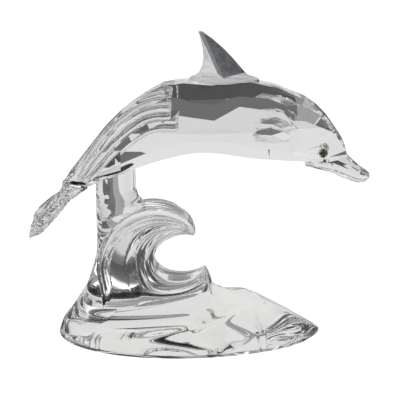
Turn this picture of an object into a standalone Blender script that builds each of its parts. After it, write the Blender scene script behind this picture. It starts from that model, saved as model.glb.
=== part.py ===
"""A leaping dolphin of cut crystal, glued on a wave of cast glass.

Metres, +Z up. The origin is on the ground, at the centre of the whole figurine's box. The dolphin leaps along +X
and its left side faces +Y.
"""

import math

import bmesh
import bpy
import numpy as np
from mathutils import Matrix, Vector

MM = 0.001
GLUE_GAP = 0.3 * MM
MERGE_DISTANCE = 0.02 * MM
CUT_DISTANCE = 0.0001 * MM

# Dolphin body: oval sections along its spine, as x, z, half height and half width
SPINE = [
    (-51.5, 64.2, 4.2, 4.8),
    (-40.1, 73.8, 7.7, 8.0),
    (-25.4, 84.6, 12.0, 11.4),
    (-11.1, 92.0, 14.6, 13.4),
    (7.9, 93.0, 15.0, 14.2),
    (19.1, 92.2, 15.3, 14.2),
    (30.1, 89.6, 14.8, 13.6),
    (39.0, 86.0, 14.0, 12.6),
    (46.0, 82.0, 12.0, 11.0),
    (52.0, 79.6, 8.0, 9.0),
    (58.0, 77.6, 3.0, 6.4),
]
# Facet rows that touch the spine's ovals: roll from the top of the back, and each facet's lean towards the head
CROWN_LEANS = [-58, -52, -46, -38, -28, -18, -8, 2, 12, 23, 34, 45, 56, 66, 76]
UPPER_ROLL = 30
UPPER_LEANS = [-54, -44, -31, -16, -2, 10, 22, 37, 50, 63]
TAIL_SIDE_ROLL = 60
TAIL_SIDE_LEANS = [-50, -38]
FACING_SHARE = 0.05
# Shoulder facets: one point of each on the left side, as x, y, z, with its lean and roll
SHOULDER_FACETS = [
    (-14.0, 13.9, 94.6, -50, 70),
    (5.6, 14.2, 94.3, 1.5, 80),
    (15.9, 13.2, 99.7, 22, 66),
    (38.0, 10.8, 92.2, 61, 70),
    (45.0, 8.5, 91.5, 48, 55),
    (52.8, 6.1, 88.0, 55, 50),
]
# Flank facets: where each starts, the half width there and its taper towards the head
FLANK_FACETS = [
    (-50.0, 5.0, -0.36),
    (-26.0, 12.2, -0.12),
    (5.6, 14.2, -0.02),
    (5.6, 14.2, 0.1),
    (36.0, 11.2, 0.3),
]
TAIL_END_HEIGHT = 64.6 * MM
HEAD_SEAM_START = (42.6 * MM, 73.4 * MM)
HEAD_SEAM_END = (60.2 * MM, 76.2 * MM)

# Belly: a smooth line under the flanks, as x and z
BELLY_LINE = [
    (-70.0, 50.0),
    (-56.0, 59.0),
    (-41.8, 66.6),
    (-26.7, 73.6),
    (-16.0, 77.6),
    (-6.6, 80.1),
    (0.0, 81.0),
    (7.0, 80.7),
    (15.2, 79.3),
    (23.5, 78.0),
    (33.0, 77.1),
    (43.2, 75.9),
    (56.0, 72.6),
    (70.0, 68.0),
]
BELLY_STEP = 1.0 * MM

# Eyes: set stones
EYE_DIAMETER = 3.8 * MM
EYE_TABLE_DIAMETER = 2.1 * MM
EYE_CROWN_HEIGHT = 0.55 * MM
EYE_DEPTH = 1.7 * MM
EYE_PLACE = (49.9 * MM, 79.0 * MM)
EYE_FACETS = 10
EYE_POINT_SHARE = 0.25
SOCKET_SEGMENTS = 24

# Beak: sections along +X, as x, bottom, top and half width
BEAK_SECTIONS = [
    (43.0, 71.9, 76.0, 2.6),
    (48.0, 70.9, 77.5, 5.0),
    (54.0, 69.3, 77.5, 5.6),
    (60.0, 66.5, 75.6, 4.9),
    (64.4, 65.0, 72.3, 4.1),
    (67.4, 65.2, 70.2, 2.9),
    (69.3, 66.6, 68.6, 1.3),
]
# Half of one section of the beak, as shares of its half width and of its drop from the top
BEAK_CORNERS = [(0.34, 0.0), (0.84, 0.26), (1.0, 0.5), (0.86, 0.76), (0.4, 1.0)]

# Dorsal fin: level sections above the back, as height, leading edge and trailing edge
FIN_SECTIONS = [
    (127.6, 0.9, -0.6),
    (124.6, 5.0, 0.2),
    (120.8, 9.3, 1.1),
    (117.0, 12.9, 1.4),
    (113.6, 15.8, 0.9),
    (110.8, 18.2, -0.5),
    (108.8, 20.6, -3.4),
    (104.0, 22.0, -5.4),
]
FIN_RIDGE_TOP = -0.5 * MM
FIN_RIDGE_SLOPE = 0.455
FIN_RIDGE_WIDTH = 1.5 * MM
FIN_TIP_HALF_THICKNESS = 0.75 * MM
FIN_FLARE = 0.13
FIN_EDGE_HALF_THICKNESS = 0.25 * MM
SADDLE_START = -5.0 * MM
SADDLE_END = 24.5 * MM
SADDLE_WIDTH = 12.0 * MM
SADDLE_THICKNESS = 0.9 * MM
SADDLE_DEPTH = 2.7 * MM
SADDLE_SEGMENTS = 40
SADDLE_FOOT_SHARE = 1.02
SADDLE_TOP_SHARE = 0.9

# Tail flukes: half the outline, as distance along the fluke and distance from its middle
FLUKE_OUTLINE = [
    (-1.0, 4.2),
    (3.0, 6.4),
    (7.0, 11.4),
    (12.0, 15.6),
    (17.0, 18.0),
    (22.0, 18.6),
    (24.9, 15.0),
    (25.8, 9.5),
    (24.6, 4.0),
]
FLUKE_NOTCH = 21.5 * MM
FLUKE_ROOT_X = -51.3 * MM
FLUKE_ROOT_DROP = 2.0 * MM
FLUKE_DROOP_ANGLE = 44
FLUKE_THICKNESS = 4.2 * MM
FLUKE_FACE_SHARE = 0.74
FLUKE_STEM_LENGTH = 10.4 * MM
FLUKE_STEM_WIDTH = 8.6 * MM
# Stem below the joint, as shares of the notch's distance, the stem's length and its width
FLUKE_STEM_SECTIONS = [(0.0, 1.0, 1.0), (0.3, 0.7, 1.2), (0.62, 0.2, 0.9)]
STEM_CORNERS = [(1, 0.5), (0.5, 1), (-0.5, 1), (-1, 0.5), (-1, -0.5), (-0.5, -1), (0.5, -1), (1, -0.5)]

# Pectoral fins: leaves laid back along the flanks
PECTORAL_ROOT = (38.0 * MM, 88.0 * MM)
PECTORAL_LENGTH = 17.5 * MM
PECTORAL_WIDTH = 7.6 * MM
PECTORAL_THICKNESS = 3.0 * MM
PECTORAL_SWEEP_ANGLE = 4
PECTORAL_SPREAD_ANGLE = 13
PECTORAL_SEAT_DEPTH = 1.2 * MM
# Sections along the leaf, as shares of its length and of its width
PECTORAL_SECTIONS = [(-0.05, 0.12), (0.12, 0.55), (0.35, 0.92), (0.6, 1.0), (0.82, 0.78), (0.95, 0.45), (1.0, 0.2)]
PECTORAL_CORNERS = [(1, 0), (0.45, 1), (-0.45, 1), (-1, 0), (-0.45, -1), (0.45, -1)]

# Pool: an oval dome with a thin rim
POOL_CENTRE_X = -4.5 * MM
POOL_LENGTH = 108.6 * MM
POOL_WIDTH = 64.8 * MM
POOL_TAPER = 0.1
POOL_HEIGHT = 13.0 * MM
POOL_RIM_HEIGHT = 1.2 * MM
POOL_DOME_POWER = 0.75
POOL_RING_POWER = 1.15
POOL_RIM_FADE = 3.0
POOL_RINGS = 13
POOL_SEGMENTS = 60
POOL_RIDGE_BACK = (20.5 * MM, 12.0 * MM)
POOL_RIDGE_FRONT = (27.5 * MM, -22.0 * MM)
POOL_RIDGE_HEIGHT = 1.9 * MM
POOL_RIDGE_WIDTH = 4.0 * MM
POOL_RIDGE_ENDS = (-0.6, 1.2)
RIPPLE_START = (-7.0 * MM, -29.0 * MM)
RIPPLE_END = (17.0 * MM, -9.0 * MM)
RIPPLE_DEPTH = 1.3 * MM
RIPPLE_WIDTH = 2.6 * MM

# Wave: a fluted crescent swept round the middle of its curl, as angle and radius
CURL_CENTRE = (-7.7 * MM, 34.4 * MM)
WAVE_START_ANGLE = 58
WAVE_END_ANGLE = 325
WAVE_BACK = [
    (58, 11.0),
    (78, 15.0),
    (96, 18.7),
    (126, 25.2),
    (157, 31.2),
    (187, 34.9),
    (201, 35.6),
    (215, 38.6),
    (229, 42.0),
    (240, 38.5),
    (255, 33.5),
    (272, 29.5),
    (291, 26.0),
    (303, 24.0),
    (312, 18.5),
    (321, 13.8),
    (325, 12.4),
]
WAVE_INSIDE = [
    (58, 9.2),
    (80, 9.0),
    (103, 8.8),
    (150, 10.0),
    (180, 11.3),
    (203, 12.1),
    (228, 11.7),
    (264, 10.6),
    (300, 10.7),
    (325, 11.6),
]
WAVE_HALF_THICKNESS = [
    (58, 3.6),
    (80, 6.2),
    (110, 8.2),
    (150, 9.8),
    (190, 10.8),
    (230, 11.2),
    (270, 10.0),
    (300, 7.6),
    (325, 4.2),
]
WAVE_INNER_SHARE = 0.62
FLUTE_RIDGES = (0.0, 0.45, 0.78, 1.0)
FLUTE_DEPTHS = (1.9, 1.4, 0.9)
FLUTE_STEPS = 4
FLUTE_FULL_THICKNESS = 8.0 * MM
WAVE_STEP_ANGLE = 7
FOOT_FLARE = 7.0 * MM
FOOT_FLARE_HEIGHT = 5.0 * MM
FOOT_LEVEL = 8.0 * MM
FOOT_FULL_THICKNESS = 12.0 * MM

# Column: upright sections, as height, left edge, right edge and half thickness
COLUMN_SECTIONS = [
    (0.0, -58.4, -14.0, 20.0),
    (1.4, -58.3, -15.0, 19.4),
    (5.2, -57.2, -16.0, 16.6),
    (7.9, -55.4, -17.0, 14.6),
    (10.6, -53.4, -18.0, 13.0),
    (13.2, -51.7, -19.0, 11.8),
    (15.9, -50.0, -20.0, 10.9),
    (21.2, -46.9, -21.0, 9.7),
    (26.5, -45.0, -22.0, 8.9),
    (34.4, -43.0, -24.0, 8.6),
    (44.0, -42.7, -24.5, 8.3),
    (53.0, -42.8, -24.0, 8.1),
    (56.6, -42.8, -22.8, 8.0),
    (58.2, -42.8, -24.7, 7.9),
    (61.0, -42.8, -25.9, 7.8),
    (66.0, -42.8, -26.3, 7.7),
    (78.0, -42.8, -26.4, 7.6),
]
COLUMN_SEGMENTS = 28


def unit(vector):
    return vector / np.linalg.norm(vector)


def smooth_line(points, at):
    """A smooth value at one place on a line through (place, value) points, level with its neighbours' slopes."""
    places = [point[0] for point in points]
    values = [point[1] for point in points]
    slopes = np.gradient(values, places)
    right = int(np.clip(np.searchsorted(places, at), 1, len(places) - 1))
    left = right - 1
    span = places[right] - places[left]
    t = (at - places[left]) / span
    start = values[left] * (2 * t**3 - 3 * t**2 + 1) + slopes[left] * span * (t**3 - 2 * t**2 + t)
    return start + values[right] * (3 * t**2 - 2 * t**3) + slopes[right] * span * (t**3 - t**2)


def clear_scene():
    for item in list(bpy.data.objects):
        bpy.data.objects.remove(item, do_unlink=True)


def new_collection(name):
    collection = bpy.data.collections.new(name)
    bpy.context.scene.collection.children.link(collection)
    return collection


def new_material(name, colour, roughness, transmission, ior):
    material = bpy.data.materials.new(name)
    material.use_nodes = True
    shader = material.node_tree.nodes["Principled BSDF"]
    shader.inputs["Base Color"].default_value = (*colour, 1)
    shader.inputs["Roughness"].default_value = roughness
    shader.inputs["Metallic"].default_value = 0
    shader.inputs["Transmission Weight"].default_value = transmission
    shader.inputs["IOR"].default_value = ior
    return material


def new_object(name, bm, collection, material=None):
    bmesh.ops.recalc_face_normals(bm, faces=bm.faces)
    mesh = bpy.data.meshes.new(name)
    bm.to_mesh(mesh)
    bm.free()
    item = bpy.data.objects.new(name, mesh)
    collection.objects.link(item)
    if material:
        mesh.materials.append(material)
    return item


def new_helper(name, bm):
    """A shape that only cuts or joins others."""
    item = new_object(name, bm, helpers)
    item.hide_render = True
    item.display_type = "WIRE"
    return item


def combine(item, helper, operation):
    boolean = item.modifiers.new(f"{operation.lower()} {helper.name}", "BOOLEAN")
    boolean.operation = operation
    boolean.object = helper
    boolean.solver = "EXACT"


def loft(rings):
    """A closed solid through rings of equally many points."""
    bm = bmesh.new()
    rows = [[bm.verts.new(point) for point in ring] for ring in rings]
    for lower, upper in zip(rows, rows[1:]):
        for index, vert in enumerate(lower):
            after = (index + 1) % len(lower)
            bm.faces.new((vert, lower[after], upper[after], upper[index]))
    bm.faces.new(rows[0][::-1])
    bm.faces.new(rows[-1])
    return bm


def spine_sections():
    """The body's oval sections in metres, each as centre, up direction, half height and half width."""
    centres = np.array([(x * MM, 0, z * MM) for x, z, _, _ in SPINE])
    along = np.gradient(centres, axis=0)
    sections = []
    for centre, step, (_, _, half_height, half_width) in zip(centres, along, SPINE):
        upright = unit(np.array([-step[2], 0, step[0]]))
        sections.append((centre, upright, half_height * MM, half_width * MM))
    return sections


def reach(normal, sections):
    """How far the sections reach along a normal, from the origin."""
    return max(
        normal @ centre + math.hypot(half_height * (normal @ upright), half_width * normal[1])
        for centre, upright, half_height, half_width in sections
    )


def leaning_normal(lean, roll, side):
    lean, roll = math.radians(lean), math.radians(roll)
    return np.array([math.sin(lean) * math.cos(roll), side * math.sin(roll), math.cos(lean) * math.cos(roll)])


def body_planes():
    """Each facet of the body as an outward normal and its distance from the origin."""
    sections = spine_sections()
    normals = [leaning_normal(lean, 0, 1) for lean in CROWN_LEANS]
    for side in (1, -1):
        normals += [leaning_normal(lean, UPPER_ROLL, side) for lean in UPPER_LEANS]
        normals += [leaning_normal(lean, TAIL_SIDE_ROLL, side) for lean in TAIL_SIDE_LEANS]
    planes = [(normal, reach(normal, sections)) for normal in normals]
    for side in (1, -1):
        for x, y, z, lean, roll in SHOULDER_FACETS:
            normal = leaning_normal(lean, roll, side)
            planes.append((normal, normal @ np.array([x, side * y, z]) * MM))
        for x, y, taper in FLANK_FACETS:
            normal = unit(np.array([taper, side, 0]))
            planes.append((normal, normal @ np.array([x, side * y, 0]) * MM))
    planes.append((np.array([0.0, 0.0, -1.0]), -TAIL_END_HEIGHT))
    seam_start = np.array([HEAD_SEAM_START[0], 0, HEAD_SEAM_START[1]])
    seam_end = np.array([HEAD_SEAM_END[0], 0, HEAD_SEAM_END[1]])
    seam_way = unit(seam_end - seam_start)
    seam_normal = np.array([seam_way[2], 0, -seam_way[0]])
    planes.append((seam_normal, seam_normal @ seam_start))
    return planes


def flank_at(x, z):
    """The y of the left flank at x and z, and the outward normal of the facet there."""
    return min(
        ((reach_out - normal[0] * x - normal[2] * z) / normal[1], tuple(normal))
        for normal, reach_out in PLANES
        if normal[1] > FACING_SHARE
    )


def back_at(x):
    """The z of the top of the back at x."""
    return min((reach_out - normal[0] * x) / normal[2] for normal, reach_out in PLANES if normal[2] > FACING_SHARE)


def faceted_body(grow):
    """A block cut back by every facet's plane, moved out by grow."""
    bm = bmesh.new()
    size = 4 * max(abs(reach_out) for _, reach_out in PLANES)
    bmesh.ops.create_cube(bm, size=size)
    for normal, reach_out in PLANES:
        result = bmesh.ops.bisect_plane(
            bm,
            geom=bm.verts[:] + bm.edges[:] + bm.faces[:],
            dist=CUT_DISTANCE,
            plane_co=Vector(normal * (reach_out + grow)),
            plane_no=Vector(normal),
            clear_outer=True,
        )
        cut = [item for item in result["geom_cut"] if isinstance(item, bmesh.types.BMEdge)]
        if cut:
            bmesh.ops.contextual_create(bm, geom=cut)
    bmesh.ops.remove_doubles(bm, verts=bm.verts, dist=MERGE_DISTANCE)
    return bm


def belly_block(name, lowered):
    """The block under the belly line, which cuts the body's underside."""
    width = 3 * max(section[3] for section in SPINE) * MM
    start, end = BELLY_LINE[0][0] * MM, BELLY_LINE[-1][0] * MM
    places = np.linspace(start, end, round((end - start) / BELLY_STEP) + 1)
    line = [(x, smooth_line(BELLY_LINE, x / MM) * MM - lowered) for x in places]
    outline = line + [(end, 0.0), (start, 0.0)]
    return new_helper(name, loft([[Vector((x, y, z)) for x, z in outline] for y in (-width, width)]))


def body_with_belly(name, grow):
    """The body's outer shape as a helper, grown by the glue gap, which cuts each piece that is glued to it."""
    helper = new_helper(name, faceted_body(grow))
    combine(helper, belly_block(f"{name} belly", grow), "DIFFERENCE")
    return helper


def eye_frame(side):
    """The eye's place on the flank, with its z axis out of the facet."""
    x, z = EYE_PLACE
    y, normal = flank_at(x, z)
    outward = Vector((normal[0], side * normal[1], normal[2]))
    return Matrix.Translation((x, side * y, z)) @ outward.to_track_quat("Z", "Y").to_matrix().to_4x4()


def round_ring(radius, height, count, frame):
    angles = [2 * math.pi * index / count for index in range(count)]
    return [frame @ Vector((radius * math.cos(angle), radius * math.sin(angle), height)) for angle in angles]


def make_body():
    body = new_object("dolphin_body", faceted_body(0), parts, crystal)
    combine(body, belly_block("belly", 0), "DIFFERENCE")
    for side, name in ((1, "left"), (-1, "right")):
        frame = eye_frame(side)
        radius = EYE_DIAMETER / 2 + GLUE_GAP
        depth = EYE_DEPTH + GLUE_GAP
        rings = [round_ring(radius, height, SOCKET_SEGMENTS, frame) for height in (-depth, 4 * depth)]
        combine(body, new_helper(f"eye socket {name}", loft(rings)), "DIFFERENCE")
    return body


def make_eye(side, name):
    frame = eye_frame(side)
    rings = [
        round_ring(EYE_POINT_SHARE * EYE_DIAMETER / 2, -EYE_DEPTH, EYE_FACETS, frame),
        round_ring(EYE_DIAMETER / 2, -EYE_CROWN_HEIGHT / 2, EYE_FACETS, frame),
        round_ring(EYE_DIAMETER / 2, 0, EYE_FACETS, frame),
        round_ring(EYE_TABLE_DIAMETER / 2, EYE_CROWN_HEIGHT, EYE_FACETS, frame),
    ]
    return new_object(name, loft(rings), parts, stone)


def make_beak():
    rings = []
    for x, bottom, top, half_width in BEAK_SECTIONS:
        half = [(share * half_width, top - drop * (top - bottom)) for share, drop in BEAK_CORNERS]
        ring = half + [(-across, level) for across, level in reversed(half)]
        rings.append([Vector((x, across, level)) * MM for across, level in ring])
    beak = new_object("beak", loft(rings), parts, crystal)
    combine(beak, glued_shape, "DIFFERENCE")
    return beak


def make_dorsal_fin():
    top = FIN_SECTIONS[0][0] * MM
    rings = []
    for level, lead, trail in FIN_SECTIONS:
        height, lead, trail = level * MM, lead * MM, trail * MM
        drop = top - height
        ridge_back = FIN_RIDGE_TOP + FIN_RIDGE_SLOPE * drop
        ridge_front = min(ridge_back + FIN_RIDGE_WIDTH, lead - FIN_EDGE_HALF_THICKNESS)
        thick = FIN_TIP_HALF_THICKNESS + FIN_FLARE * drop
        edge = FIN_EDGE_HALF_THICKNESS
        half = [(lead, edge), (ridge_front, thick), (ridge_back, thick), (trail, edge)]
        ring = half + [(x, -y) for x, y in reversed(half)]
        rings.append([Vector((x, y, height)) for x, y in ring])
    fin = new_object("dorsal_fin", loft(rings), parts, crystal)
    middle = (SADDLE_START + SADDLE_END) / 2
    half_length = (SADDLE_END - SADDLE_START) / 2
    height = back_at(middle)
    oval = []
    for level, share in ((height - SADDLE_DEPTH, SADDLE_FOOT_SHARE), (height + SADDLE_DEPTH, SADDLE_TOP_SHARE)):
        ring = round_ring(share, 0, SADDLE_SEGMENTS, Matrix.Identity(4))
        oval.append([Vector((middle + half_length * p.x, SADDLE_WIDTH / 2 * p.y, level)) for p in ring])
    saddle = new_helper("saddle", loft(oval))
    combine(saddle, new_helper("saddle top", faceted_body(GLUE_GAP + SADDLE_THICKNESS)), "INTERSECT")
    combine(fin, saddle, "UNION")
    combine(fin, glued_shape, "DIFFERENCE")
    return fin


def make_flukes():
    root = Vector((FLUKE_ROOT_X, 0, TAIL_END_HEIGHT - FLUKE_ROOT_DROP))
    angle = math.radians(FLUKE_DROOP_ANGLE)
    along = Vector((-math.cos(angle), 0, -math.sin(angle)))
    upward = Vector((-math.sin(angle), 0, math.cos(angle)))
    half = [(distance * MM, across * MM) for distance, across in FLUKE_OUTLINE]
    outline = half + [(FLUKE_NOTCH, 0.0)] + [(distance, -across) for distance, across in reversed(half)]
    middle = sum(distance for distance, _ in outline) / len(outline)
    rings = []
    for height, share in ((-FLUKE_THICKNESS / 2, FLUKE_FACE_SHARE), (0, 1), (FLUKE_THICKNESS / 2, FLUKE_FACE_SHARE)):
        ring = [(middle + share * (distance - middle), share * across) for distance, across in outline]
        rings.append([root + along * u + upward * height + Vector((0, v, 0)) for u, v in ring])
    flukes = new_object("tail_flukes", loft(rings), parts, crystal)
    joint = Vector((FLUKE_ROOT_X, 0, TAIL_END_HEIGHT - GLUE_GAP))
    places = [(joint, 1, 1)]
    places += [(root + along * share * FLUKE_NOTCH, long, wide) for share, long, wide in FLUKE_STEM_SECTIONS]
    stem = []
    for centre, long, wide in places:
        half_length, half_width = long * FLUKE_STEM_LENGTH / 2, wide * FLUKE_STEM_WIDTH / 2
        stem.append([centre + Vector((half_length * x, half_width * y, 0)) for x, y in STEM_CORNERS])
    combine(flukes, new_helper("fluke stem", loft(stem)), "UNION")
    combine(flukes, glued_shape, "DIFFERENCE")
    return flukes


def make_pectoral(side, name):
    x, z = PECTORAL_ROOT
    root = Vector((x, side * (flank_at(x, z)[0] - PECTORAL_SEAT_DEPTH), z))
    sweep, spread = math.radians(PECTORAL_SWEEP_ANGLE), math.radians(PECTORAL_SPREAD_ANGLE)
    along = Vector((-math.cos(sweep) * math.cos(spread), side * math.sin(spread), math.sin(sweep) * math.cos(spread)))
    across = Vector((-along.z, 0, along.x)).normalized()
    outward = along.cross(across)
    rings = []
    for share, width in PECTORAL_SECTIONS:
        centre = root + along * (PECTORAL_LENGTH * share)
        wide = PECTORAL_WIDTH / 2 * width
        thick = PECTORAL_THICKNESS / 2 * math.sqrt(width)
        rings.append([centre + across * (wide * u) + outward * (thick * v) for u, v in PECTORAL_CORNERS])
    fin = new_object(name, loft(rings), parts, crystal)
    combine(fin, glued_shape, "DIFFERENCE")
    return fin


def pool_height(x, y, inward):
    """The pool's surface: a dome, a raised ridge across its right end and a leaf-shaped ripple in front."""
    height = POOL_RIM_HEIGHT + (POOL_HEIGHT - POOL_RIM_HEIGHT) * inward**POOL_DOME_POWER
    start, end = np.array(POOL_RIDGE_BACK), np.array(POOL_RIDGE_FRONT)
    share = np.clip((y - start[1]) / (end[1] - start[1]), *POOL_RIDGE_ENDS)
    away = abs(x - start[0] - share * (end[0] - start[0]))
    height += POOL_RIDGE_HEIGHT * math.exp(-away / POOL_RIDGE_WIDTH) * min(1, POOL_RIM_FADE * inward)
    for side in (1, -1):
        start, end = np.array(RIPPLE_START), np.array(RIPPLE_END)
        way = unit(end - start)
        offset = np.array([x, side * y]) - start
        along = offset @ way / np.linalg.norm(end - start)
        away = (offset[1] * way[0] - offset[0] * way[1]) / RIPPLE_WIDTH
        leaf = max(0.0, math.sin(math.pi * np.clip(along, 0, 1)))
        height -= RIPPLE_DEPTH * leaf * math.exp(-(away**2)) * min(1, POOL_RIM_FADE * inward)
    return height


def pool_ring(share):
    ring = []
    for index in range(POOL_SEGMENTS):
        angle = 2 * math.pi * index / POOL_SEGMENTS
        x = POOL_CENTRE_X + share * POOL_LENGTH / 2 * math.cos(angle)
        y = share * POOL_WIDTH / 2 * math.sin(angle) * (1 - POOL_TAPER * math.cos(angle))
        ring.append((x, y))
    return ring


def make_pool():
    rings = [[Vector((x, y, 0)) for x, y in pool_ring(1)]]
    for step in range(POOL_RINGS):
        share = 1 - (step / (POOL_RINGS - 0.5)) ** POOL_RING_POWER
        rings.append([Vector((x, y, pool_height(x, y, 1 - share**2))) for x, y in pool_ring(share)])
    return loft(rings)


def wave_section(angle):
    """One section of the wave, in the upright plane through the middle of the curl."""
    turn = math.radians(angle)
    back = smooth_line(WAVE_BACK, angle) * MM
    inside = smooth_line(WAVE_INSIDE, angle) * MM
    half_thickness = smooth_line(WAVE_HALF_THICKNESS, angle) * MM
    front = []
    for number, (start, end) in enumerate(zip(FLUTE_RIDGES, FLUTE_RIDGES[1:])):
        for step in range(FLUTE_STEPS):
            share = step / FLUTE_STEPS
            hollow = FLUTE_DEPTHS[number] * MM * math.sin(math.pi * share) * min(1, half_thickness / FLUTE_FULL_THICKNESS)
            front.append((start + (end - start) * share, hollow))
    front.append((1.0, 0.0))
    ring = []
    for side, points in ((-1, front), (1, front[::-1])):
        for share, hollow in points:
            radius = back + (inside - back) * share
            x = CURL_CENTRE[0] + radius * math.cos(turn)
            z = CURL_CENTRE[1] + radius * math.sin(turn)
            flare = FOOT_FLARE * math.exp(-max(0, z - FOOT_LEVEL) / FOOT_FLARE_HEIGHT)
            plain = half_thickness * (1 - (1 - WAVE_INNER_SHARE) * share)
            ring.append(Vector((x, side * (plain - hollow + flare * half_thickness / FOOT_FULL_THICKNESS), z)))
    return ring


def make_wave():
    count = round((WAVE_END_ANGLE - WAVE_START_ANGLE) / WAVE_STEP_ANGLE)
    angles = np.linspace(WAVE_START_ANGLE, WAVE_END_ANGLE, count + 1)
    return loft([wave_section(angle) for angle in angles])


def make_column():
    rings = []
    for level, left, right, half_thickness in COLUMN_SECTIONS:
        middle, half_length = (left + right) / 2, (right - left) / 2
        ring = round_ring(1, 0, COLUMN_SEGMENTS, Matrix.Identity(4))
        rings.append([Vector((middle + half_length * p.x, half_thickness * p.y, level)) * MM for p in ring])
    return loft(rings)


def make_wave_base():
    base = new_object("wave_base", make_pool(), parts, cast_glass)
    combine(base, new_helper("wave", make_wave()), "UNION")
    combine(base, new_helper("column", make_column()), "UNION")
    combine(base, glued_shape, "DIFFERENCE")
    return base


clear_scene()
parts = new_collection("dolphin figurine")
helpers = new_collection("helpers")
crystal = new_material("cut crystal", (0.97, 0.98, 0.97), 0.0, 1.0, 1.54)
cast_glass = new_material("cast glass", (0.96, 0.97, 0.96), 0.02, 1.0, 1.54)
stone = new_material("dark stone", (0.02, 0.025, 0.015), 0.1, 0.0, 1.6)
PLANES = body_planes()
glued_shape = body_with_belly("body and glue", GLUE_GAP)
make_wave_base()
make_body()
make_beak()
make_dorsal_fin()
make_flukes()
make_pectoral(1, "pectoral_fin_left")
make_pectoral(-1, "pectoral_fin_right")
make_eye(1, "eye_left")
make_eye(-1, "eye_right")
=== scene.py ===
"""The crystal dolphin figurine on its glass wave, dressed and lit for the photograph's view.

The glue in the real joints is clear, so light passes from piece to piece as through one block. Here each
piece reaches its neighbour, and the two faces that meet are a clear joint with no refraction.
"""

import math

import bmesh
import bpy
import numpy as np
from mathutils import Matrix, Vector
from mathutils.bvhtree import BVHTree


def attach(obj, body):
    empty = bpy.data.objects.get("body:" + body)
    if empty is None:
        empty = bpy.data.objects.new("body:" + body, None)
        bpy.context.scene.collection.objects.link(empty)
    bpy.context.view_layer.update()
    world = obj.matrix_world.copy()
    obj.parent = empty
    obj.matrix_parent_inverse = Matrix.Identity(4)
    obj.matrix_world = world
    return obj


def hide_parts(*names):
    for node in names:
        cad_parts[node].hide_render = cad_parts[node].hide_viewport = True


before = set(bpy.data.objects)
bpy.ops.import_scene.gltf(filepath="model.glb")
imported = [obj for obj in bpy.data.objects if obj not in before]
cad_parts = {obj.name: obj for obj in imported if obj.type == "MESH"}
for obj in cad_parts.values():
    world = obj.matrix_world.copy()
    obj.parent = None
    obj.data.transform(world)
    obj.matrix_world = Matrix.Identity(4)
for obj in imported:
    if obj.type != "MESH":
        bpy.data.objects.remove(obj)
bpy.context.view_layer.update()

MM = 0.001

# Camera, from the photograph
FRAME_SIDE = 400
CAMERA_ELEVATION = math.radians(17)
CAMERA_DISTANCE = 0.75
CAMERA_TARGET = Vector((0, 0, 57 * MM))
PIXELS_PER_METRE = 2430
SENSOR_WIDTH = 36
CLIP_START = 0.01

# Clear pieces: how they meet, and the places of their materials
CRYSTAL_IOR = 1.54
GLUE_GAP = 0.3 * MM
SINK_DEPTH = 0.8 * MM
WELD_DISTANCE = 0.001 * MM
CRYSTAL_NODES = ("beak", "dorsal_fin", "tail_flukes")
CRYSTAL, JOINT, GROUND, RIDGE, SATIN = range(5)

# Eyes: a dark star, painted as the reflection of the back facets, on an olive ring, on the faces whose
# normal points outward by more than EYE_OUTWARD
STAR_ARM_HALF_WIDTH = 0.37 * MM
STAR_REACH = 1.55 * MM
STAR_CORE = 0.8 * MM
EYE_STAR_PAINTED_REFLECTION_COLOUR = (0.006, 0.007, 0.005)
EYE_RING_COLOUR = (0.2, 0.21, 0.13)
EYE_OUTWARD = 0.05
STONE_ROUGHNESS = 0.05
STONE_IOR = 1.6

# Dorsal fin: the normals of its ground faces, and the grain of the grinding
FIN_FOOT_TOP = 110.5 * MM
FIN_LEADING = 0.1
FIN_LEADING_SIDEWAYS = 0.5
FIN_RIDGE_SIDEWAYS = 0.9
GRAIN_SCALE = 420
GRAIN_DETAIL = 8
GRAIN_ROUGHNESS = 0.7
GRAIN_RANGE = (0.4, 0.66)

# Flukes: parallel ribs on their outer side
RIB_MIDDLE = -60.0 * MM
RIB_REACH = 8.0 * MM
RIB_DIRECTION = (1.0, 1.0, 1.0)
RIB_SPACING = 1.2 * MM
RIB_DEPTH = 0.45 * MM
FLUKE_SHARP_ANGLE = math.radians(50)
FLUKE_JOINT_REACH = 1.5 * MM

# Pectoral fins: a leaf of flat facets on each flank, as x and z in mm, and how far each part stands off it
PECTORAL_OUTLINE = [
    (20.8, 88.2),
    (23.8, 90.8),
    (30.0, 91.3),
    (34.4, 89.6),
    (37.6, 86.6),
    (35.0, 85.2),
    (29.6, 84.4),
    (22.3, 85.4),
]
PECTORAL_RIDGE = [(23.2, 88.4), (28.6, 88.0)]
PECTORAL_FLANKS = ((5.6, 14.2, -0.1), (36.0, 11.2, -0.3))
PECTORAL_OFFSETS = (-1.0, 0.5, 1.2)
PECTORAL_BASE_SHARE = 0.9

# Pool: an oval with a thin rim, flat slopes up to a slanting ridge, a mound under the wave and two ripples
POOL_CENTRE_X = -4.5 * MM
POOL_LENGTH = 108.6 * MM
POOL_WIDTH = 64.8 * MM
POOL_TAPER = 0.1
POOL_RIM_HEIGHT = 1.2 * MM
POOL_RISE = 30.0 * MM
POOL_BLEND = 0.5 * MM
POOL_RING_POWER = 1.15
POOL_RIM_FADE = 3.0
POOL_RINGS = 64
POOL_SEGMENTS = 240
POOL_POINT = 0.4
POOL_POINT_POWER = 12
POOL_RIDGE_BACK = (20.5 * MM, 12.0 * MM)
POOL_RIDGE_FRONT = (27.5 * MM, -22.0 * MM)
POOL_RIDGE_TOP = 13.6 * MM
POOL_RIDGE_SLOPES = (0.15, 0.42)
POOL_GROOVE_DEPTH = 0.5 * MM
POOL_GROOVE_WIDTH = 0.7 * MM
MOUND_CENTRE_X = -24.0 * MM
MOUND_HALF_SIZE = (31.0 * MM, 13.0 * MM)
MOUND_HEIGHTS = (8.0 * MM, 8.5 * MM)
MOUND_REACH = 4.5 * MM
RIPPLE_START = (-7.0 * MM, -27.0 * MM)
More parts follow.
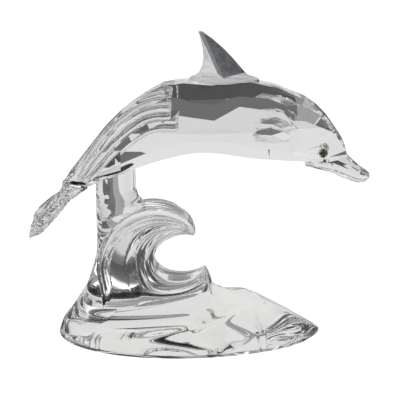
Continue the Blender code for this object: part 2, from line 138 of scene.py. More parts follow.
RIPPLE_END = (17.0 * MM, -9.0 * MM)
RIPPLE_DEPTH = 2.2 * MM
RIPPLE_WIDTH = 2.3 * MM

# Wave: a fluted crescent swept round the middle of its curl, as angle in degrees and radius in mm
CURL_CENTRE = (-7.7 * MM, 34.4 * MM)
WAVE_START_ANGLE = 58
WAVE_END_ANGLE = 325
WAVE_STEP_ANGLE = 1.5
WAVE_BACK = [
    (58, 11.0),
    (78, 15.0),
    (96, 18.7),
    (126, 25.2),
    (157, 31.2),
    (187, 34.9),
    (201, 35.6),
    (215, 38.6),
    (229, 42.0),
    (240, 38.5),
    (255, 33.5),
    (272, 29.5),
    (291, 26.0),
    (303, 24.0),
    (312, 18.5),
    (321, 13.8),
    (325, 12.4),
]
WAVE_INSIDE = [
    (58, 9.2),
    (80, 9.0),
    (103, 8.8),
    (150, 10.0),
    (180, 11.3),
    (203, 12.1),
    (228, 11.7),
    (264, 10.6),
    (300, 10.7),
    (325, 11.6),
]
WAVE_HALF_THICKNESS = [
    (58, 3.6),
    (80, 6.2),
    (110, 8.2),
    (150, 9.8),
    (190, 10.8),
    (230, 11.2),
    (270, 10.0),
    (300, 7.6),
    (325, 4.2),
]
WAVE_INNER_SHARE = 0.62
FLUTE_RIDGES = (0.0, 0.12, 0.5, 0.83, 1.0)
CREST_RIDGES = (0.0, 0.42, 0.66, 0.86, 1.0)
CREST_ANGLES = (105, 185)
FLUTE_DEPTHS = (0.4, 2.0, 1.6, 0.8)
FLUTE_STEPS = 12
CREST_DIMPLE_DEPTH = 1.5
CREST_DIMPLE_PLACE = (76, 0.66)
CREST_DIMPLE_SIZE = (13, 0.2)
FLUTE_FULL_THICKNESS = 8.0 * MM

# Column: upright sections, as height, left edge, right edge and half thickness in mm
COLUMN_SECTIONS = [
    (0.0, -58.4, -14.0, 20.0),
    (1.4, -58.3, -15.0, 19.4),
    (5.2, -57.2, -16.0, 16.6),
    (7.9, -55.4, -17.0, 14.6),
    (10.6, -53.4, -18.0, 13.0),
    (13.2, -51.7, -19.0, 11.8),
    (15.9, -50.0, -20.0, 10.9),
    (21.2, -46.9, -21.0, 9.7),
    (26.5, -45.0, -22.0, 8.9),
    (34.4, -43.0, -24.0, 8.6),
    (44.0, -42.7, -24.5, 8.3),
    (53.0, -42.8, -24.0, 8.1),
    (56.6, -42.8, -22.8, 8.0),
    (58.2, -42.8, -24.7, 7.9),
    (61.0, -42.8, -25.9, 7.8),
    (66.0, -42.8, -26.3, 7.7),
    (78.0, -42.8, -26.4, 7.6),
]
COLUMN_LEVELS = 110
COLUMN_SEGMENTS = 96
CAST_SHARP_ANGLE = math.radians(32)

# Upper crest: the wave goes on up the dolphin's far flank, as x, lower and upper edge in mm
UPPER_CREST_LINE = [
    (-48.0, 60.5, 68.0),
    (-42.0, 65.0, 77.0),
    (-33.3, 73.4, 87.0),
    (-27.6, 78.4, 91.5),
    (-20.8, 83.1, 94.0),
    (-14.0, 84.9, 95.0),
    (-10.0, 84.8, 94.8),
    (-8.6, 85.6, 93.6),
]
UPPER_CREST_FLANKS = ((-50.0, 5.0, 0.36), (-26.0, 12.2, 0.12), (5.6, 14.2, 0.02))
UPPER_CREST_THICKNESS = 3.0
UPPER_CREST_SWELL_POWER = 0.5
UPPER_CREST_SINK = 0.4
UPPER_CREST_FLUTES = 4
UPPER_CREST_FLUTE_DEPTHS = (1.2, 0.6)
UPPER_CREST_INSIDE = 4.0
UPPER_CREST_INSIDE_SHARES = (0.9, 0.5, 0.1)
UPPER_CREST_STEPS = (60, 64)

# Cards that only the glass sees: a round one, shaded by the distance in mm, and patches with corners in mm
TABLE_CARD_RADIUS = 330
TABLE_CARD_HEIGHT = -0.04
CARD_HEIGHT = -0.03
SIDE_CARD_HEIGHT = -0.02
TABLE_STOPS = [
    (0, 0.7),
    (38, 0.75),
    (42, 0.4),
    (46.5, 0.35),
    (48, 1.25),
    (52.5, 1.25),
    (56, 0.16),
    (70, 0.05),
    (85, 0.045),
    (92, 0.13),
    (101, 0.22),
    (106, 0.62),
    (170, 0.72),
    (330, 0.76),
]
CARDS = [
    ("card_inner", [(-41, 16), (-33, 29), (-22, 38), (-8, 43), (8, 43), (22, 38), (33, 29), (39, 18)], 0.3),
    ("card_far", [(-25, 138), (20, 138), (20, 275), (12, 278), (6, 288), (-12, 288), (-25, 262)], 0.13),
    ("card_behind", [(28, 236), (130, 236), (130, 330), (28, 330)], 0.08),
    ("card_side", [(-62, 120), (-26, 120), (-26, 262), (-62, 262)], 0.33),
    ("card_far_right", [(20, 170), (66, 170), (66, 201), (20, 201)], 0.13),
]
SIDE_CARDS = [
    ("card_right", [(150, -220), (330, -220), (330, -10), (150, -10)], 0.05),
    ("card_left", [(-330, -220), (-140, -220), (-140, 90), (-330, 90)], 0.05),
]
# The card under the wave is painted shade: a nearly black patch for the shadow under the thick glass
UNDER_CARD_CENTRE = (-22, 12.5)
UNDER_CARD_HALF_SIZE = (25, 12)
UNDER_CARD_SHADE = 0.012
FRONT_CARD = [(-560, -280, 20), (-560, -280, 380), (-280, -560, 380), (-280, -560, 20)]
FRONT_CARD_SHADE = 0.75

# Table, world and lamp, in metres and watts
FLOOR_SIZE = 6
FLOOR_HEIGHT = -0.05 * MM
FLOOR_COLOUR = (0.32, 0.32, 0.32)
FLOOR_GLOW_TO_CAMERA = 0.9
FLOOR_GLOW_THROUGH_GLASS = 0.48
WORLD_COLOUR = (1, 1, 0.985)
WORLD_DIRECTIONS = (0.05, 0.42)
WORLD_STRENGTHS = (0.05, 0.78)
WORLD_STRENGTH_TO_CAMERA = 1.0
LAMP_SIZE = (0.5, 0.5)
LAMP_POWER = 11.0
LAMP_PLACE = (-0.4, -0.8, 0.55)
LAMP_TARGET = (0, 0, 0.05)
MAX_BOUNCES = 32
GLOSSY_BOUNCES = 12


def oval(centre, half_size, count=64):
    """The corners of a card's outline."""
    corners = []
    for index in range(count):
        angle = 2 * math.pi * index / count
        x = centre[0] + half_size[0] * math.cos(angle)
        y = centre[1] + half_size[1] * math.sin(angle)
        corners.append((x, y))
    return corners


def smooth_line(points, at):
    """The value at one place on a smooth line through points of place and value."""
    places = [point[0] for point in points]
    values = [point[1] for point in points]
    slopes = np.gradient(values, places)
    right = int(np.clip(np.searchsorted(places, at), 1, len(places) - 1))
    left = right - 1
    span = places[right] - places[left]
    t = (at - places[left]) / span
    start = values[left] * (2 * t**3 - 3 * t**2 + 1) + slopes[left] * span * (t**3 - 2 * t**2 + t)
    return start + values[right] * (3 * t**2 - 2 * t**3) + slopes[right] * span * (t**3 - t**2)


def flank_at(x, lines):
    """Half the body's width at x in mm: the least of straight lines, each with a place, width and slope."""
    return min(width + slope * (x - place) for place, width, slope in lines)


def new_object(name, bm):
    mesh = bpy.data.meshes.new(name)
    bm.to_mesh(mesh)
    bm.free()
    item = bpy.data.objects.new(name, mesh)
    bpy.context.scene.collection.objects.link(item)
    return item


def loft(name, rings):
    """A closed solid through rings of equally many points."""
    bm = bmesh.new()
    rows = [[bm.verts.new(point) for point in ring] for ring in rings]
    for lower, upper in zip(rows, rows[1:]):
        for index, corner in enumerate(lower):
            after = (index + 1) % len(lower)
            bm.faces.new((corner, lower[after], upper[after], upper[index]))
    bm.faces.new(rows[0][::-1])
    bm.faces.new(rows[-1])
    bmesh.ops.recalc_face_normals(bm, faces=bm.faces)
    return new_object(name, bm)


def union(item, other):
    """Joins other into item and removes it. Each face keeps the material it came with."""
    boolean = item.modifiers.new("join", "BOOLEAN")
    boolean.operation = "UNION"
    boolean.object = other
    boolean.solver = "MANIFOLD"
    boolean.material_mode = "TRANSFER"
    graph = bpy.context.evaluated_depsgraph_get()
    mesh = bpy.data.meshes.new_from_object(item.evaluated_get(graph))
    item.modifiers.clear()
    item.data = mesh
    bpy.data.objects.remove(other, do_unlink=True)


def ridge_height(x, y, rise):
    """The rim's rise, cut off by the slopes of the slanting ridge, and the depth of the groove along it."""
    start, end = np.array(POOL_RIDGE_BACK), np.array(POOL_RIDGE_FRONT)
    beyond = x - start[0] - (y - start[1]) / (end[1] - start[1]) * (end[0] - start[0])
    left, right = POOL_RIDGE_SLOPES
    limits = (rise, POOL_RIDGE_TOP + left * beyond, POOL_RIDGE_TOP - right * beyond)
    lowest = min(limits)
    blend = sum(math.exp((lowest - limit) / POOL_BLEND) for limit in limits)
    height = lowest - POOL_BLEND * math.log(blend)
    return height, POOL_GROOVE_DEPTH * math.exp(-((beyond / POOL_GROOVE_WIDTH) ** 2))


def mound_height(x, y):
    """The mound that the wave stands on."""
    out = math.hypot((x - MOUND_CENTRE_X) / MOUND_HALF_SIZE[0], y / MOUND_HALF_SIZE[1])
    along = (x - MOUND_CENTRE_X + MOUND_HALF_SIZE[0]) / (2 * MOUND_HALF_SIZE[0])
    height = MOUND_HEIGHTS[0] + (MOUND_HEIGHTS[1] - MOUND_HEIGHTS[0]) * min(1, max(0, along))
    reach = MOUND_REACH / MOUND_HALF_SIZE[1]
    return height * math.exp(-max(0, out - 1) / reach)


def ripple_depth(x, y):
    """The leaf-shaped hollow beside the wave."""
    start = np.array(RIPPLE_START)
    line = np.array(RIPPLE_END) - start
    length = np.linalg.norm(line)
    way = line / length
    offset = np.array([x, y]) - start
    along = offset @ way / length
    away = (offset[1] * way[0] - offset[0] * way[1]) / RIPPLE_WIDTH
    return RIPPLE_DEPTH * max(0.0, math.sin(math.pi * np.clip(along, 0, 1))) * math.exp(-(away**2))


def pool_height(x, y, inward):
    """The pool's surface, where inward is 0 at the rim and 1 in the middle."""
    fade = min(1, POOL_RIM_FADE * inward)
    rise = POOL_RIM_HEIGHT + POOL_RISE * (1 - math.sqrt(1 - inward))
    height, groove = ridge_height(x, y, rise)
    height = max(height - groove * fade, POOL_RIM_HEIGHT)
    height += mound_height(x, y) * fade
    for side in (1, -1):
        height -= ripple_depth(x, side * y) * fade
    return height


def pool_ring(share):
    """The pool's outline, shrunk to a share of its size. It narrows to a point at the right."""
    ring = []
    for index in range(POOL_SEGMENTS):
        angle = 2 * math.pi * index / POOL_SEGMENTS
        x = POOL_CENTRE_X + share * POOL_LENGTH / 2 * math.cos(angle)
        point = POOL_POINT * max(0, math.cos(angle)) ** POOL_POINT_POWER
        y = share * POOL_WIDTH / 2 * math.sin(angle) * (1 - POOL_TAPER * math.cos(angle)) * (1 - point)
        ring.append((x, y))
    return ring


def make_pool():
    rings = [[Vector((x, y, 0)) for x, y in pool_ring(1)]]
    # The innermost ring stays a little off the middle
    for step in range(POOL_RINGS):
        share = 1 - (step / (POOL_RINGS - 0.5)) ** POOL_RING_POWER
        rings.append([Vector((x, y, pool_height(x, y, 1 - share**2))) for x, y in pool_ring(share)])
    return loft("pool", rings)


def wave_section(angle):
    """One section of the wave, in the upright plane through the middle of the curl."""
    turn = math.radians(angle)
    back = smooth_line(WAVE_BACK, angle) * MM
    inside = smooth_line(WAVE_INSIDE, angle) * MM
    half_thickness = smooth_line(WAVE_HALF_THICKNESS, angle) * MM
    # The ridges between the flutes shift on their way down from the crest to the foot
    low = float(np.clip((angle - CREST_ANGLES[0]) / (CREST_ANGLES[1] - CREST_ANGLES[0]), 0, 1))
    ridges = [crest + (foot - crest) * low for crest, foot in zip(CREST_RIDGES, FLUTE_RIDGES)]
    front = []
    for number, (start, end) in enumerate(zip(ridges, ridges[1:])):
        depth = FLUTE_DEPTHS[number] * MM * min(1, half_thickness / FLUTE_FULL_THICKNESS)
        for step in range(FLUTE_STEPS):
            share = step / FLUTE_STEPS
            front.append((start + (end - start) * share, depth * math.sin(math.pi * share)))
    front.append((1.0, 0.0))
    ring = []
    for side, points in ((-1, front), (1, front[::-1])):
        for share, hollow in points:
            radius = back + (inside - back) * share
            x = CURL_CENTRE[0] + radius * math.cos(turn)
            z = CURL_CENTRE[1] + radius * math.sin(turn)
            away = (angle - CREST_DIMPLE_PLACE[0]) / CREST_DIMPLE_SIZE[0]
            across = (share - CREST_DIMPLE_PLACE[1]) / CREST_DIMPLE_SIZE[1]
            dimple = CREST_DIMPLE_DEPTH * MM * math.exp(-(away**2) - across**2)
            plain = half_thickness * (1 - (1 - WAVE_INNER_SHARE) * share)
            ring.append(Vector((x, side * (plain - hollow - dimple), z)))
    return ring


def make_wave():
    count = round((WAVE_END_ANGLE - WAVE_START_ANGLE) / WAVE_STEP_ANGLE)
    angles = np.linspace(WAVE_START_ANGLE, WAVE_END_ANGLE, count + 1)
    return loft("wave", [wave_section(angle) for angle in angles])


def make_column():
    lines = [[(section[0], section[number]) for section in COLUMN_SECTIONS] for number in (1, 2, 3)]
    rings = []
    for level in np.linspace(0, COLUMN_SECTIONS[-1][0], COLUMN_LEVELS):
        left, right, half_thickness = [smooth_line(line, level) for line in lines]
        ring = []
        for index in range(COLUMN_SEGMENTS):
            angle = 2 * math.pi * index / COLUMN_SEGMENTS
            x = (left + right) / 2 + (right - left) / 2 * math.cos(angle)
            ring.append(Vector((x, half_thickness * math.sin(angle), level)) * MM)
        rings.append(ring)
    return loft("column", rings)


def make_upper_crest():
    """The fluted crest on the far flank, which the photo shows through the dolphin."""
    lower = [(point[0], point[1]) for point in UPPER_CREST_LINE]
    upper = [(point[0], point[2]) for point in UPPER_CREST_LINE]
    count, across = UPPER_CREST_STEPS
    first_depth, last_depth = UPPER_CREST_FLUTE_DEPTHS
    rings = []
    for x in np.linspace(UPPER_CREST_LINE[0][0], UPPER_CREST_LINE[-1][0], count):
        flank = flank_at(x, UPPER_CREST_FLANKS)
        bottom, top = smooth_line(lower, x), smooth_line(upper, x)
        ring = []
        for step in range(across + 1):
            share = step / across
            swell = UPPER_CREST_THICKNESS * math.sin(math.pi * share) ** UPPER_CREST_SWELL_POWER
            depth = first_depth + (last_depth - first_depth) * share
            flute = depth * abs(math.sin(math.pi * UPPER_CREST_FLUTES * share))
            y = flank - UPPER_CREST_SINK + swell - flute
            ring.append(Vector((x, y, bottom + (top - bottom) * share)) * MM)
        for share in UPPER_CREST_INSIDE_SHARES:
            ring.append(Vector((x, flank - UPPER_CREST_INSIDE, bottom + (top - bottom) * share)) * MM)
        rings.append(ring)
    return loft("upper_crest", rings)


def make_wave_base():
    """The cast base with its column reaching up into the dolphin, where the joint is."""
    base = make_pool()
    union(base, make_wave())
    union(base, make_column())
    union(base, make_upper_crest())
    return base


def copy_of(node):
    """A piece in a CAD node's own form."""
    bm = bmesh.new()
    bm.from_mesh(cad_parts[node].data)
    bmesh.ops.remove_doubles(bm, verts=bm.verts, dist=WELD_DISTANCE)
    bmesh.ops.recalc_face_normals(bm, faces=bm.faces)
    return new_object(f"{node}_copy", bm)


def cut_flukes(item, body_tree):
    """Parallel ribs across the outer side of each fluke."""
    bm = bmesh.new()
    bm.from_mesh(item.data)
    bmesh.ops.triangulate(bm, faces=bm.faces)
    groove = bm.verts.layers.int.new("groove")
    for side in (1, -1):
        way = Vector((RIB_DIRECTION[0], -side * RIB_DIRECTION[1], RIB_DIRECTION[2])).normalized()
        levels = [vertex.co.dot(way) / RIB_SPACING for vertex in bm.verts]
        for number in range(math.ceil(min(levels)), math.ceil(max(levels))):
            faces = [face for face in bm.faces if side * face.calc_center_median().y > 0]
            edges = dict.fromkeys(edge for face in faces for edge in face.edges)
            corners = dict.fromkeys(corner for face in faces for corner in face.verts)
            # A line across the fluke, of which every second one is the bottom of a groove
            place = way * number * RIB_SPACING
            made = bmesh.ops.bisect_plane(bm, geom=[*faces, *edges, *corners], plane_co=place, plane_no=way)
            for part in made["geom_cut"]:
                if isinstance(part, bmesh.types.BMVert) and abs(part.co.x - RIB_MIDDLE) < RIB_REACH:
                    part[groove] = number % 2
    bm.normal_update()
    moves = []
    for vertex in bm.verts:
        away = body_tree.find_nearest(vertex.co)[3]
        flat = all(edge.calc_face_angle(0) < FLUKE_SHARP_ANGLE for edge in vertex.link_edges)
        outer = vertex.normal.y * math.copysign(1, vertex.co.y) > 0
        if vertex[groove] and flat and outer and away > FLUKE_JOINT_REACH:
            moves.append((vertex, vertex.co - vertex.normal * RIB_DEPTH))
    for vertex, place in moves:
        vertex.co = place
    bmesh.ops.triangulate(bm, faces=bm.faces)
    bm.to_mesh(item.data)
    bm.free()


def make_pectoral(side):
    """A fin as the leaf that the photo shows, with its base a little way into the body."""
    centre = np.mean(PECTORAL_OUTLINE, axis=0)
    base = [tuple(centre + (np.array(point) - centre) * PECTORAL_BASE_SHARE) for point in PECTORAL_OUTLINE]
    bm = bmesh.new()
    for points, offset in zip((base, PECTORAL_OUTLINE, PECTORAL_RIDGE), PECTORAL_OFFSETS):
        for x, z in points:
            flank = flank_at(x, PECTORAL_FLANKS)
            bm.verts.new(Vector((x, side * (flank + offset), z)) * MM)
    hull = bmesh.ops.convex_hull(bm, input=bm.verts)
    inside = [part for part in hull["geom_interior"] if isinstance(part, bmesh.types.BMVert)]
    bmesh.ops.delete(bm, geom=inside, context="VERTS")
    bmesh.ops.recalc_face_normals(bm, faces=bm.faces)
    return new_object("pectoral_fin", bm)


def close_gap(item, body_tree):
    """Moves the glued face of a piece through the glue and a little into the body."""
    for vertex in item.data.vertices:
        _, normal, _, distance = body_tree.find_nearest(vertex.co)
        if distance < 2 * GLUE_GAP:
            vertex.co -= normal * SINK_DEPTH


def cut_apart(figure, index, name):
    """The faces of one piece, with a clear joint face where it meets its neighbours."""
    bm = bmesh.new()
    bm.from_mesh(figure.data)
    others = [face for face in bm.faces if face.material_index != index]
    bmesh.ops.delete(bm, geom=others, context="FACES")
    for face in bm.faces:
        face.material_index = CRYSTAL
    rim = [edge for edge in bm.edges if edge.is_boundary]
    joints = bmesh.ops.holes_fill(bm, edges=rim, sides=0)["faces"]
    for face in joints:
        face.material_index = JOINT
        face.smooth = False
    bmesh.ops.recalc_face_normals(bm, faces=bm.faces)
    return new_object(name, bm)


def make_camera():
    data = bpy.data.cameras.new("camera")
    data.sensor_width = SENSOR_WIDTH
    data.lens = SENSOR_WIDTH * PIXELS_PER_METRE * CAMERA_DISTANCE / FRAME_SIDE
    data.clip_start = CLIP_START
    camera = bpy.data.objects.new("camera", data)
    back = Vector((0, -math.cos(CAMERA_ELEVATION), math.sin(CAMERA_ELEVATION)))
    camera.location = CAMERA_TARGET + back * CAMERA_DISTANCE
    camera.rotation_euler = (-back).to_track_quat("-Z", "Y").to_euler()
    bpy.context.scene.collection.objects.link(camera)
    bpy.context.scene.camera = camera


def surface(name, colour, roughness, others):
    """A plain material. The others are further inputs of its shader, by name."""
    material = bpy.data.materials.new(name)
    material.use_nodes = True
    inputs = material.node_tree.nodes["Principled BSDF"].inputs
    inputs["Base Color"].default_value = (*colour, 1)
    inputs["Roughness"].default_value = roughness
    for socket, value in others.items():
        inputs[socket].default_value = value
    return material


def glass(name, roughness=0.0, colour=(1, 1, 1), ior=CRYSTAL_IOR, transmission=1.0):
    return surface(name, colour, roughness, {"IOR": ior, "Transmission Weight": transmission})


def in_use(sockets, name):
    """The socket of that name which the node uses as it is set."""
    return next(socket for socket in sockets if socket.name == name and socket.enabled)


def operate(tree, kind, operation, *values):
    """The output of a node that works out one value from plain values and other nodes' outputs."""
    node = tree.nodes.new(kind)
    node.operation = operation
    for socket, value in zip(node.inputs, values):
        if isinstance(value, bpy.types.NodeSocket):
            tree.links.new(value, socket)
        else:
            socket.default_value = value
    return next(output for output in node.outputs if output.enabled)


def stone_with_painted_star(name, centre):
    """A dark stone with an olive ring, and a dark star painted on it as the reflection of its back facets.
    """
    material = surface(name, EYE_RING_COLOUR, STONE_ROUGHNESS, {"IOR": STONE_IOR})
    tree = material.node_tree
    coordinate = tree.nodes.new("ShaderNodeTexCoord")
    split = tree.nodes.new("ShaderNodeSeparateXYZ")
    offset = operate(tree, "ShaderNodeVectorMath", "SUBTRACT", coordinate.outputs["Object"], centre)
    tree.links.new(offset, split.inputs[0])
    across = operate(tree, "ShaderNodeMath", "ABSOLUTE", split.outputs["X"])
    up = operate(tree, "ShaderNodeMath", "ABSOLUTE", split.outputs["Z"])
    least = operate(tree, "ShaderNodeMath", "MINIMUM", across, up)
    most = operate(tree, "ShaderNodeMath", "MAXIMUM", across, up)
    # The painted reflection: a dark star of thin arms and a core round the centre
    thin = operate(tree, "ShaderNodeMath", "LESS_THAN", least, STAR_ARM_HALF_WIDTH)
    near = operate(tree, "ShaderNodeMath", "LESS_THAN", most, STAR_REACH)
    arm = operate(tree, "ShaderNodeMath", "MULTIPLY", thin, near)
    core = operate(tree, "ShaderNodeMath", "LESS_THAN", most, STAR_CORE)
    mix = tree.nodes.new("ShaderNodeMix")
    mix.data_type = "RGBA"
    tree.links.new(operate(tree, "ShaderNodeMath", "MAXIMUM", arm, core), mix.inputs["Factor"])
    in_use(mix.inputs, "A").default_value = (*EYE_RING_COLOUR, 1)
    in_use(mix.inputs, "B").default_value = (*EYE_STAR_PAINTED_REFLECTION_COLOUR, 1)
    tree.links.new(in_use(mix.outputs, "Result"), tree.nodes["Principled BSDF"].inputs["Base Color"])
    return material


def ground_glass(name, roughness, dark, pale):
    """Crystal that was ground and not polished: dull, grey and mottled."""
    material = glass(name, roughness=roughness)
    tree = material.node_tree
    coordinate = tree.nodes.new("ShaderNodeTexCoord")
    grain = tree.nodes.new("ShaderNodeTexNoise")
    grain.inputs["Scale"].default_value = GRAIN_SCALE
    grain.inputs["Detail"].default_value = GRAIN_DETAIL
    grain.inputs["Roughness"].default_value = GRAIN_ROUGHNESS
    ramp = tree.nodes.new("ShaderNodeValToRGB")
    for element, position, colour in zip(ramp.color_ramp.elements, GRAIN_RANGE, (dark, pale)):
        element.position = position
        element.color = (*colour, 1)
    tree.links.new(coordinate.outputs["Object"], grain.inputs["Vector"])
    tree.links.new(grain.outputs["Fac"], ramp.inputs["Fac"])
    tree.links.new(ramp.outputs["Color"], tree.nodes["Principled BSDF"].inputs["Base Color"])
    return material


def make_world():
    world = bpy.data.worlds.new("studio")
    bpy.context.scene.world = world
    world.use_nodes = True
    tree = world.node_tree
    background = tree.nodes["Background"]
    coordinate = tree.nodes.new("ShaderNodeTexCoord")
    split = tree.nodes.new("ShaderNodeSeparateXYZ")
    tree.links.new(coordinate.outputs["Generated"], split.inputs[0])
    # Pale behind the object and dim behind the camera
    depth = tree.nodes.new("ShaderNodeMapRange")
    depth.interpolation_type = "SMOOTHSTEP"
    depth.inputs["From Min"].default_value, depth.inputs["From Max"].default_value = WORLD_DIRECTIONS
    depth.inputs["To Min"].default_value, depth.inputs["To Max"].default_value = WORLD_STRENGTHS
    tree.links.new(split.outputs["Y"], depth.inputs["Value"])
    path = tree.nodes.new("ShaderNodeLightPath")
    mix = tree.nodes.new("ShaderNodeMix")
    mix.data_type = "FLOAT"
    tree.links.new(path.outputs["Is Camera Ray"], mix.inputs["Factor"])
    tree.links.new(depth.outputs["Result"], in_use(mix.inputs, "A"))
    in_use(mix.inputs, "B").default_value = WORLD_STRENGTH_TO_CAMERA
    tree.links.new(in_use(mix.outputs, "Result"), background.inputs["Strength"])
    background.inputs["Color"].default_value = (*WORLD_COLOUR, 1)


def make_floor():
    """The white table. The camera, and rays through glass, see it brighter than the lamp makes it."""
    bpy.ops.mesh.primitive_plane_add(size=FLOOR_SIZE, location=(0, 0, FLOOR_HEIGHT))
    floor = bpy.context.object
    floor.name = "floor"
    material = surface("white table", FLOOR_COLOUR, 1, {"Specular IOR Level": 0})
    tree = material.node_tree
    path = tree.nodes.new("ShaderNodeLightPath")
    glow = tree.nodes.new("ShaderNodeEmission")
    add = tree.nodes.new("ShaderNodeAddShader")
    glass_ray = path.outputs["Is Transmission Ray"]
    camera_ray = path.outputs["Is Camera Ray"]
    through = operate(tree, "ShaderNodeMath", "MULTIPLY", glass_ray, FLOOR_GLOW_THROUGH_GLASS)
    both = operate(tree, "ShaderNodeMath", "MULTIPLY_ADD", camera_ray, FLOOR_GLOW_TO_CAMERA, through)
    tree.links.new(both, glow.inputs["Strength"])
    tree.links.new(tree.nodes["Principled BSDF"].outputs[0], add.inputs[0])
    tree.links.new(glow.outputs[0], add.inputs[1])
    tree.links.new(add.outputs[0], tree.nodes["Material Output"].inputs["Surface"])
    floor.data.materials.append(material)


def card_material(name, stops=None, shade=0.0):
    """One shade, or shades that follow the distance from the middle of the table."""
    material = bpy.data.materials.new(name)
    material.use_nodes = True
    tree = material.node_tree
    tree.nodes.remove(tree.nodes["Principled BSDF"])
    glow = tree.nodes.new("ShaderNodeEmission")
    glow.inputs["Strength"].default_value = shade
    tree.links.new(glow.outputs[0], tree.nodes["Material Output"].inputs["Surface"])
    if stops is None:
        return material
    position = tree.nodes.new("ShaderNodeNewGeometry")
    distance = operate(tree, "ShaderNodeVectorMath", "LENGTH", position.outputs["Position"])
    share = operate(tree, "ShaderNodeMath", "DIVIDE", distance, stops[-1][0] * MM)
    curve = tree.nodes.new("ShaderNodeFloatCurve")
    points = curve.mapping.curves[0].points
    for place, value in stops[1:-1]:
        points.new(place / stops[-1][0], value)
    points[0].location = (0, stops[0][1])
    points[len(points) - 1].location = (1, stops[-1][1])
    for point in points:
        point.handle_type = "VECTOR"
    curve.mapping.update()
    tree.links.new(share, curve.inputs["Value"])
    tree.links.new(curve.outputs["Value"], glow.inputs["Strength"])
    return material


def make_card(name, points, material):
    """A flat card, seen only through and in the glass."""
    bm = bmesh.new()
    bm.faces.new([bm.verts.new([value * MM for value in point]) for point in points])
    card = new_object(name, bm)
    card.visible_camera = False
    card.visible_shadow = False
    card.visible_diffuse = False
    card.data.materials.append(material)


def at_height(outline, height):
    """The corners of a card that lies flat on the table."""
    return [(x, y, height) for x, y in outline]


def make_cards():
    table = at_height(oval((0, 0), (TABLE_CARD_RADIUS, TABLE_CARD_RADIUS)), TABLE_CARD_HEIGHT)
    make_card("table_card", table, card_material("table card", stops=TABLE_STOPS))
    for cards, height in ((CARDS, CARD_HEIGHT), (SIDE_CARDS, SIDE_CARD_HEIGHT)):
        for name, outline, shade in cards:
            make_card(name, at_height(outline, height), card_material(name, shade=shade))
    # Painted shade under the wave, for the shadow under the thick glass
    under = at_height(oval(UNDER_CARD_CENTRE, UNDER_CARD_HALF_SIZE), CARD_HEIGHT)
    make_card("card_under_painted_shade", under, card_material("card_under_painted_shade", shade=UNDER_CARD_SHADE))
    make_card("card_front", FRONT_CARD, card_material("card_front", shade=FRONT_CARD_SHADE))


def make_lamp():
    """A softbox that lights the table and the dull faces. The glass doesn't show it."""
    data = bpy.data.lights.new("key softbox", "AREA")
    data.shape = "RECTANGLE"
    data.size, data.size_y = LAMP_SIZE
    data.energy = LAMP_POWER
    lamp = bpy.data.objects.new("key softbox", data)
    lamp.location = LAMP_PLACE
    lamp.rotation_euler = (Vector(LAMP_TARGET) - Vector(LAMP_PLACE)).to_track_quat("-Z", "Y").to_euler()
    lamp.visible_glossy = False
    lamp.visible_transmission = False
    bpy.context.scene.collection.objects.link(lamp)


def dress(piece, node, slot, *materials):
    piece.data.materials.clear()
    for material in materials:
        piece.data.materials.append(material)
    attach(piece, "root")
    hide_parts(node)


def make_figure():
    """Every clear piece, joined to find where they meet and then cut apart again at the joints."""
    figure = copy_of("dolphin_body")
    figure.data.materials.append(bpy.data.materials.new("tag dolphin_body"))
    bm = bmesh.new()
    bm.from_mesh(figure.data)
    body_tree = BVHTree.FromBMesh(bm)
    bm.free()
    others = [("wave_base", make_wave_base())]
    for node in CRYSTAL_NODES:
        item = copy_of(node)
        if node == "tail_flukes":
            cut_flukes(item, body_tree)
        close_gap(item, body_tree)
        others.append((node, item))
    others.append(("pectoral_fin_left", make_pectoral(1)))
    others.append(("pectoral_fin_right", make_pectoral(-1)))
    # The name of its material tells which piece a face came from
    for node, item in others:
        item.data.materials.clear()
        item.data.materials.append(bpy.data.materials.new(f"tag {node}"))
        union(figure, item)
    order = [material.name.removeprefix("tag ") for material in figure.data.materials]
    pieces = {}
    for index, node in enumerate(order):
        ending = "glass" if node == "wave_base" else "crystal"
        pieces[node] = cut_apart(figure, index, f"{node}_{ending}")
    bpy.data.objects.remove(figure, do_unlink=True)
    return pieces


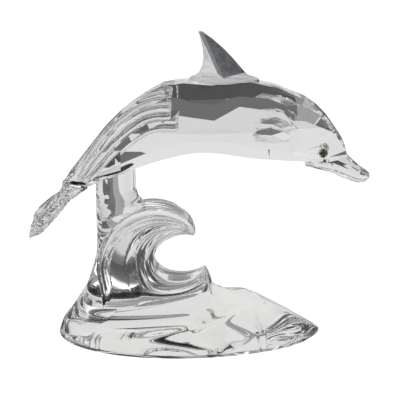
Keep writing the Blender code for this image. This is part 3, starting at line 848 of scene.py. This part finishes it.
def finish_fin(fin):
    """Grinds the leading faces dull, with a paler ridge between them. The other faces are satin."""
    for face in fin.data.polygons:
        if face.material_index == JOINT:
            continue
        forward, sideways = face.normal.x, abs(face.normal.y)
        face.material_index = SATIN
        if face.center.z > FIN_FOOT_TOP:
            if forward > FIN_LEADING and sideways > FIN_LEADING_SIDEWAYS:
                face.material_index = GROUND
            elif abs(forward) < FIN_LEADING and sideways > FIN_RIDGE_SIDEWAYS:
                face.material_index = RIDGE


def finish_eye(name, side, silver):
    """A stone with a painted reflection of its back facets as a star outside, and silver foil behind."""
    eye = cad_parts[name]
    centre = np.mean([eye.matrix_world @ vertex.co for vertex in eye.data.vertices], axis=0)
    eye.data.materials.clear()
    eye.data.materials.append(stone_with_painted_star(f"{name} stone", tuple(centre)))
    eye.data.materials.append(silver)
    for face in eye.data.polygons:
        face.material_index = 0 if side * face.normal.y > EYE_OUTWARD else 1


make_camera()
make_world()
make_floor()
make_cards()
make_lamp()

cast_glass = glass("cast glass")
clear_joint = glass("clear joint", ior=1.0)
# In the order of CRYSTAL, JOINT, GROUND, RIDGE and SATIN
crystal_set = (
    glass("cut crystal"),
    clear_joint,
    ground_glass("ground crystal", roughness=0.42, dark=(0.13, 0.14, 0.16), pale=(0.42, 0.43, 0.46)),
    ground_glass("ground ridge", roughness=0.35, dark=(0.4, 0.41, 0.43), pale=(0.6, 0.61, 0.63)),
    glass("satin crystal", roughness=0.25, colour=(0.97, 0.97, 0.96), transmission=0.62),
)
pieces = make_figure()
for node, piece in pieces.items():
    if node == "wave_base":
        piece.data.shade_smooth()
        piece.data.set_sharp_from_angle(angle=CAST_SHARP_ANGLE)
        dress(piece, node, "cast_glass", cast_glass, clear_joint)
    else:
        dress(piece, node, "cut_crystal", *crystal_set)
finish_fin(pieces["dorsal_fin"])
silver = surface("eye foil", colour=(0.75, 0.76, 0.75), roughness=0.2, others={"Metallic": 1})
finish_eye("eye_left", 1, silver)
finish_eye("eye_right", -1, silver)

scene = bpy.context.scene
scene.view_settings.view_transform = "Standard"
scene.cycles.max_bounces = MAX_BOUNCES
scene.cycles.transmission_bounces = MAX_BOUNCES
scene.cycles.glossy_bounces = GLOSSY_BOUNCES
